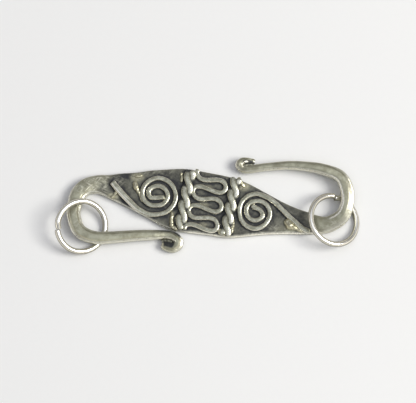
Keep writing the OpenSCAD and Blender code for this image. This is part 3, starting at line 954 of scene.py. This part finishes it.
solderSet = {
    "voxel": 0.05, "step": 0.06, "flat": 0.8, "uneven": 0.30, "unevenSize": 0.3, "lump": 0.06,
    "lumpSize": 0.35, "smooth": 2, "low": -0.04, "clear": 0.14, "dark": 0.7, "bright": 0.20, "cream": 0.7,
    "brushed": 0.2,
}
solderRuns = [  # each run: x, y, height of its middle above the plate, radius
    [(-13.40, 2.45, 0.30, 0.26), (-13.75, 1.98, 0.22, 0.27), (-14.05, 1.58, 0.16, 0.26),
     (-14.40, 1.20, 0.06, 0.25)],
    [(-11.02, 3.25, 0.14, 0.36), (-10.92, 2.75, 0.18, 0.42), (-10.70, 2.25, 0.12, 0.32),
     (-10.40, 1.70, 0.08, 0.22), (-10.20, 1.10, 0.06, 0.20), (-10.05, 0.60, 0.04, 0.16)],
    [(-10.85, 4.35, -0.10, 0.28), (-10.25, 4.42, -0.10, 0.24)],
    [(-4.25, 4.65, 0.06, 0.23), (-4.15, 4.15, 0.08, 0.25), (-4.25, 3.60, 0.04, 0.22)],
    [(-5.60, -1.25, 0.02, 0.28), (-5.68, -2.10, 0.04, 0.36), (-5.68, -2.80, 0.04, 0.38),
     (-5.50, -3.25, 0.12, 0.36), (-5.15, -3.42, 0.14, 0.34)],
    [(11.20, -2.45, 0.14, 0.44), (11.60, -2.95, 0.18, 0.66), (12.05, -3.20, 0.10, 0.38),
     (12.70, -3.50, 0.06, 0.24), (13.35, -3.92, 0.04, 0.20)],
    [(4.15, 3.85, -0.02, 0.32), (4.45, 3.40, -0.02, 0.36), (4.80, 2.95, -0.10, 0.32)],
    [(3.32, -2.20, 0.08, 0.22), (3.22, -3.00, 0.14, 0.30), (3.05, -3.85, 0.10, 0.28)],
    [(1.00, -3.50, 0.14, 0.32), (1.45, -3.92, 0.20, 0.40), (1.95, -4.22, 0.12, 0.32)],
]
curlShadeCoreSet = {  # painted shade, dark all over: its low and clear are above the whole piece
    **solderSet, "flat": 1.0, "uneven": 0.25, "low": 5, "clear": 6, "dark": 0.62, "bright": 0.0,
    "cream": 0.0,
}
curlShadeCores = [  # metal that closes the inside of each curl, painted dark to stand for the shade in its eye, in the same terms as the solder
    [(-6.90, -5.10, -0.42, 0.40), (-6.10, -5.22, -0.36, 0.44), (-5.35, -5.30, -0.42, 0.42)],
    [(4.80, 5.92, 0.22, 0.34), (5.50, 5.96, 0.20, 0.30), (6.20, 5.99, 0.20, 0.28)],
]


def ballsAlong(runs, s):  # spheres along every run, in millimetres
    bm = bmesh.new()
    for n, run in enumerate(runs):
        for x, y, z, r in evenRows(run, s["step"]):
            r *= 1 + s["uneven"] * wobble((x, y, z), s["unevenSize"], n)
            ball = bmesh.ops.create_icosphere(bm, subdivisions=2, radius=r)
            bmesh.ops.scale(bm, verts=ball["verts"], vec=(1, 1, s["flat"]))
            bmesh.ops.translate(bm, verts=ball["verts"], vec=(x, y, wireSet["plateTop"] + z))
    return bm


def meltedTogether(bm, name, voxel):  # one skin round all that bm holds
    mesh = bpy.data.meshes.new(name)
    bm.to_mesh(mesh)
    bm.free()
    melted = bpy.data.objects.new(name, mesh)
    bpy.context.scene.collection.objects.link(melted)
    remesh = melted.modifiers.new("melt", "REMESH")
    remesh.mode = "VOXEL"
    remesh.voxel_size = voxel
    bm = bmesh.new()
    bm.from_object(melted, bpy.context.evaluated_depsgraph_get())
    bpy.data.objects.remove(melted)
    bpy.data.meshes.remove(mesh)
    return bm


def makeMelted(name, runs, material, s):
    bm = meltedTogether(ballsAlong(runs, s), name, s["voxel"])
    axes = {f"use_axis_{axis}": True for axis in "xyz"}
    for _ in range(s["smooth"]):
        bmesh.ops.smooth_vert(bm, verts=bm.verts, factor=0.5, **axes)
    bm.normal_update()
    layers = [bm.verts.layers.float.new(label) for label in shadeNames]
    for v in bm.verts:
        v.co += v.normal * s["lump"] * wobble(v.co, s["lumpSize"], 20)
        high = smoothStep(v.co.z - wireSet["plateTop"], s["low"], s["clear"])
        shade = (s["dark"] * (1 - high), s["bright"] * high, s["cream"], s["brushed"])
        for layer, value in zip(layers, shade):
            v[layer] = value
    bmesh.ops.scale(bm, verts=bm.verts, vec=(mm, mm, mm))
    finishPiece(bm, name, material)


makeMelted("solder", solderRuns, solderSilver, solderSet)
makeMelted("curl_cores", curlShadeCores, plateSilver, curlShadeCoreSet)


# Jump rings, round wire with a cut

ringSet = {
    "outer": 8.2, "wire": 0.82, "cut": 0.1, "sides": 32, "steps": 240, "uneven": 0.02, "unevenPerTurn": 9,
    "offset": 0.10, "stagger": 0.22, "lastBend": (0.95, 1),  # one end at the cut is lower and further in
    "endShares": (0.0, 0.002, 0.005), "wholeFrom": 0.008, "endSizes": (0.80, 0.93, 0.985),  # rounded ends
    # a painted highlight along the top of the wire, painted shade on its flanks and underside, and the
    # rounded ends at the cut darker
    "top": (0.55, 0.90), "topHighlight": 0.6, "flankShade": 0.75, "endDark": 2,
}
jumpRings = {
    "jump_ring_left": {"place": (-18.82, -3.23), "high": 148, "cut": 188, "tilt": 25.5},
    "jump_ring_right": {"place": (17.98, -2.27), "high": 198, "cut": 85, "tilt": 24.5},
}


def makeRing(node, place, s, seed):
    radius = (s["outer"] - s["wire"]) / 2
    gap = s["cut"] / radius
    tilt = math.radians(place["tilt"])
    turn = Matrix.Rotation(math.radians(place["high"]), 4, "Z") @ Matrix.Rotation(-tilt, 4, "Y")
    turn = turn @ Matrix.Rotation(math.radians(place["cut"] - place["high"]) + gap / 2, 4, "Z")
    upward = turn.to_3x3().transposed() @ Vector((0, 0, 1))
    lift = Vector(place["place"] + (s["wire"] / 2 + radius * math.sin(tilt),))
    ends = s["endShares"]
    shares = [mixed(s["wholeFrom"], 1 - s["wholeFrom"], i / s["steps"]) for i in range(s["steps"] + 1)]
    shares = list(ends) + shares + [1 - share for share in reversed(ends)]
    rings, shades = [], []
    for i, share in enumerate(shares):
        fromEnd = min(i, len(shares) - 1 - i)
        size = s["endSizes"][fromEnd] if fromEnd < len(ends) else 1.0
        a = (2 * math.pi - gap) * share
        out = Vector((math.cos(a), math.sin(a), 0))
        near = smoothStep(share, *s["lastBend"])
        waver = s["uneven"] * wobble((share * s["unevenPerTurn"], 0, 0), 1, seed)
        r = radius - s["stagger"] * near + waver
        ring, shade = [], []
        for k in range(s["sides"]):
            b = 2 * math.pi * k / s["sides"]
            point = out * (r + s["wire"] / 2 * size * math.cos(b))
            point.z = s["wire"] / 2 * size * math.sin(b) - s["offset"] * near
            ring.append(turn @ point + lift)
            outward = out * math.cos(b) + Vector((0, 0, math.sin(b)))
            # painted shade on the flanks and underside, painted highlight along the top
            shadeUnder = 1 - smoothStep(outward.dot(upward), *s["top"])
            patinaAndShade = s["flankShade"] * shadeUnder + (1 - size) * s["endDark"]
            shade.append((patinaAndShade, s["topHighlight"] * (1 - shadeUnder), 0, 0))
        rings.append(ring)
        shades.append(shade)
    finishPiece(rolledSkin(rings, shades), node + "_wire", ringSilver, node)


for seed, (node, place) in enumerate(jumpRings.items()):
    makeRing(node, place, ringSet, seed + 30)
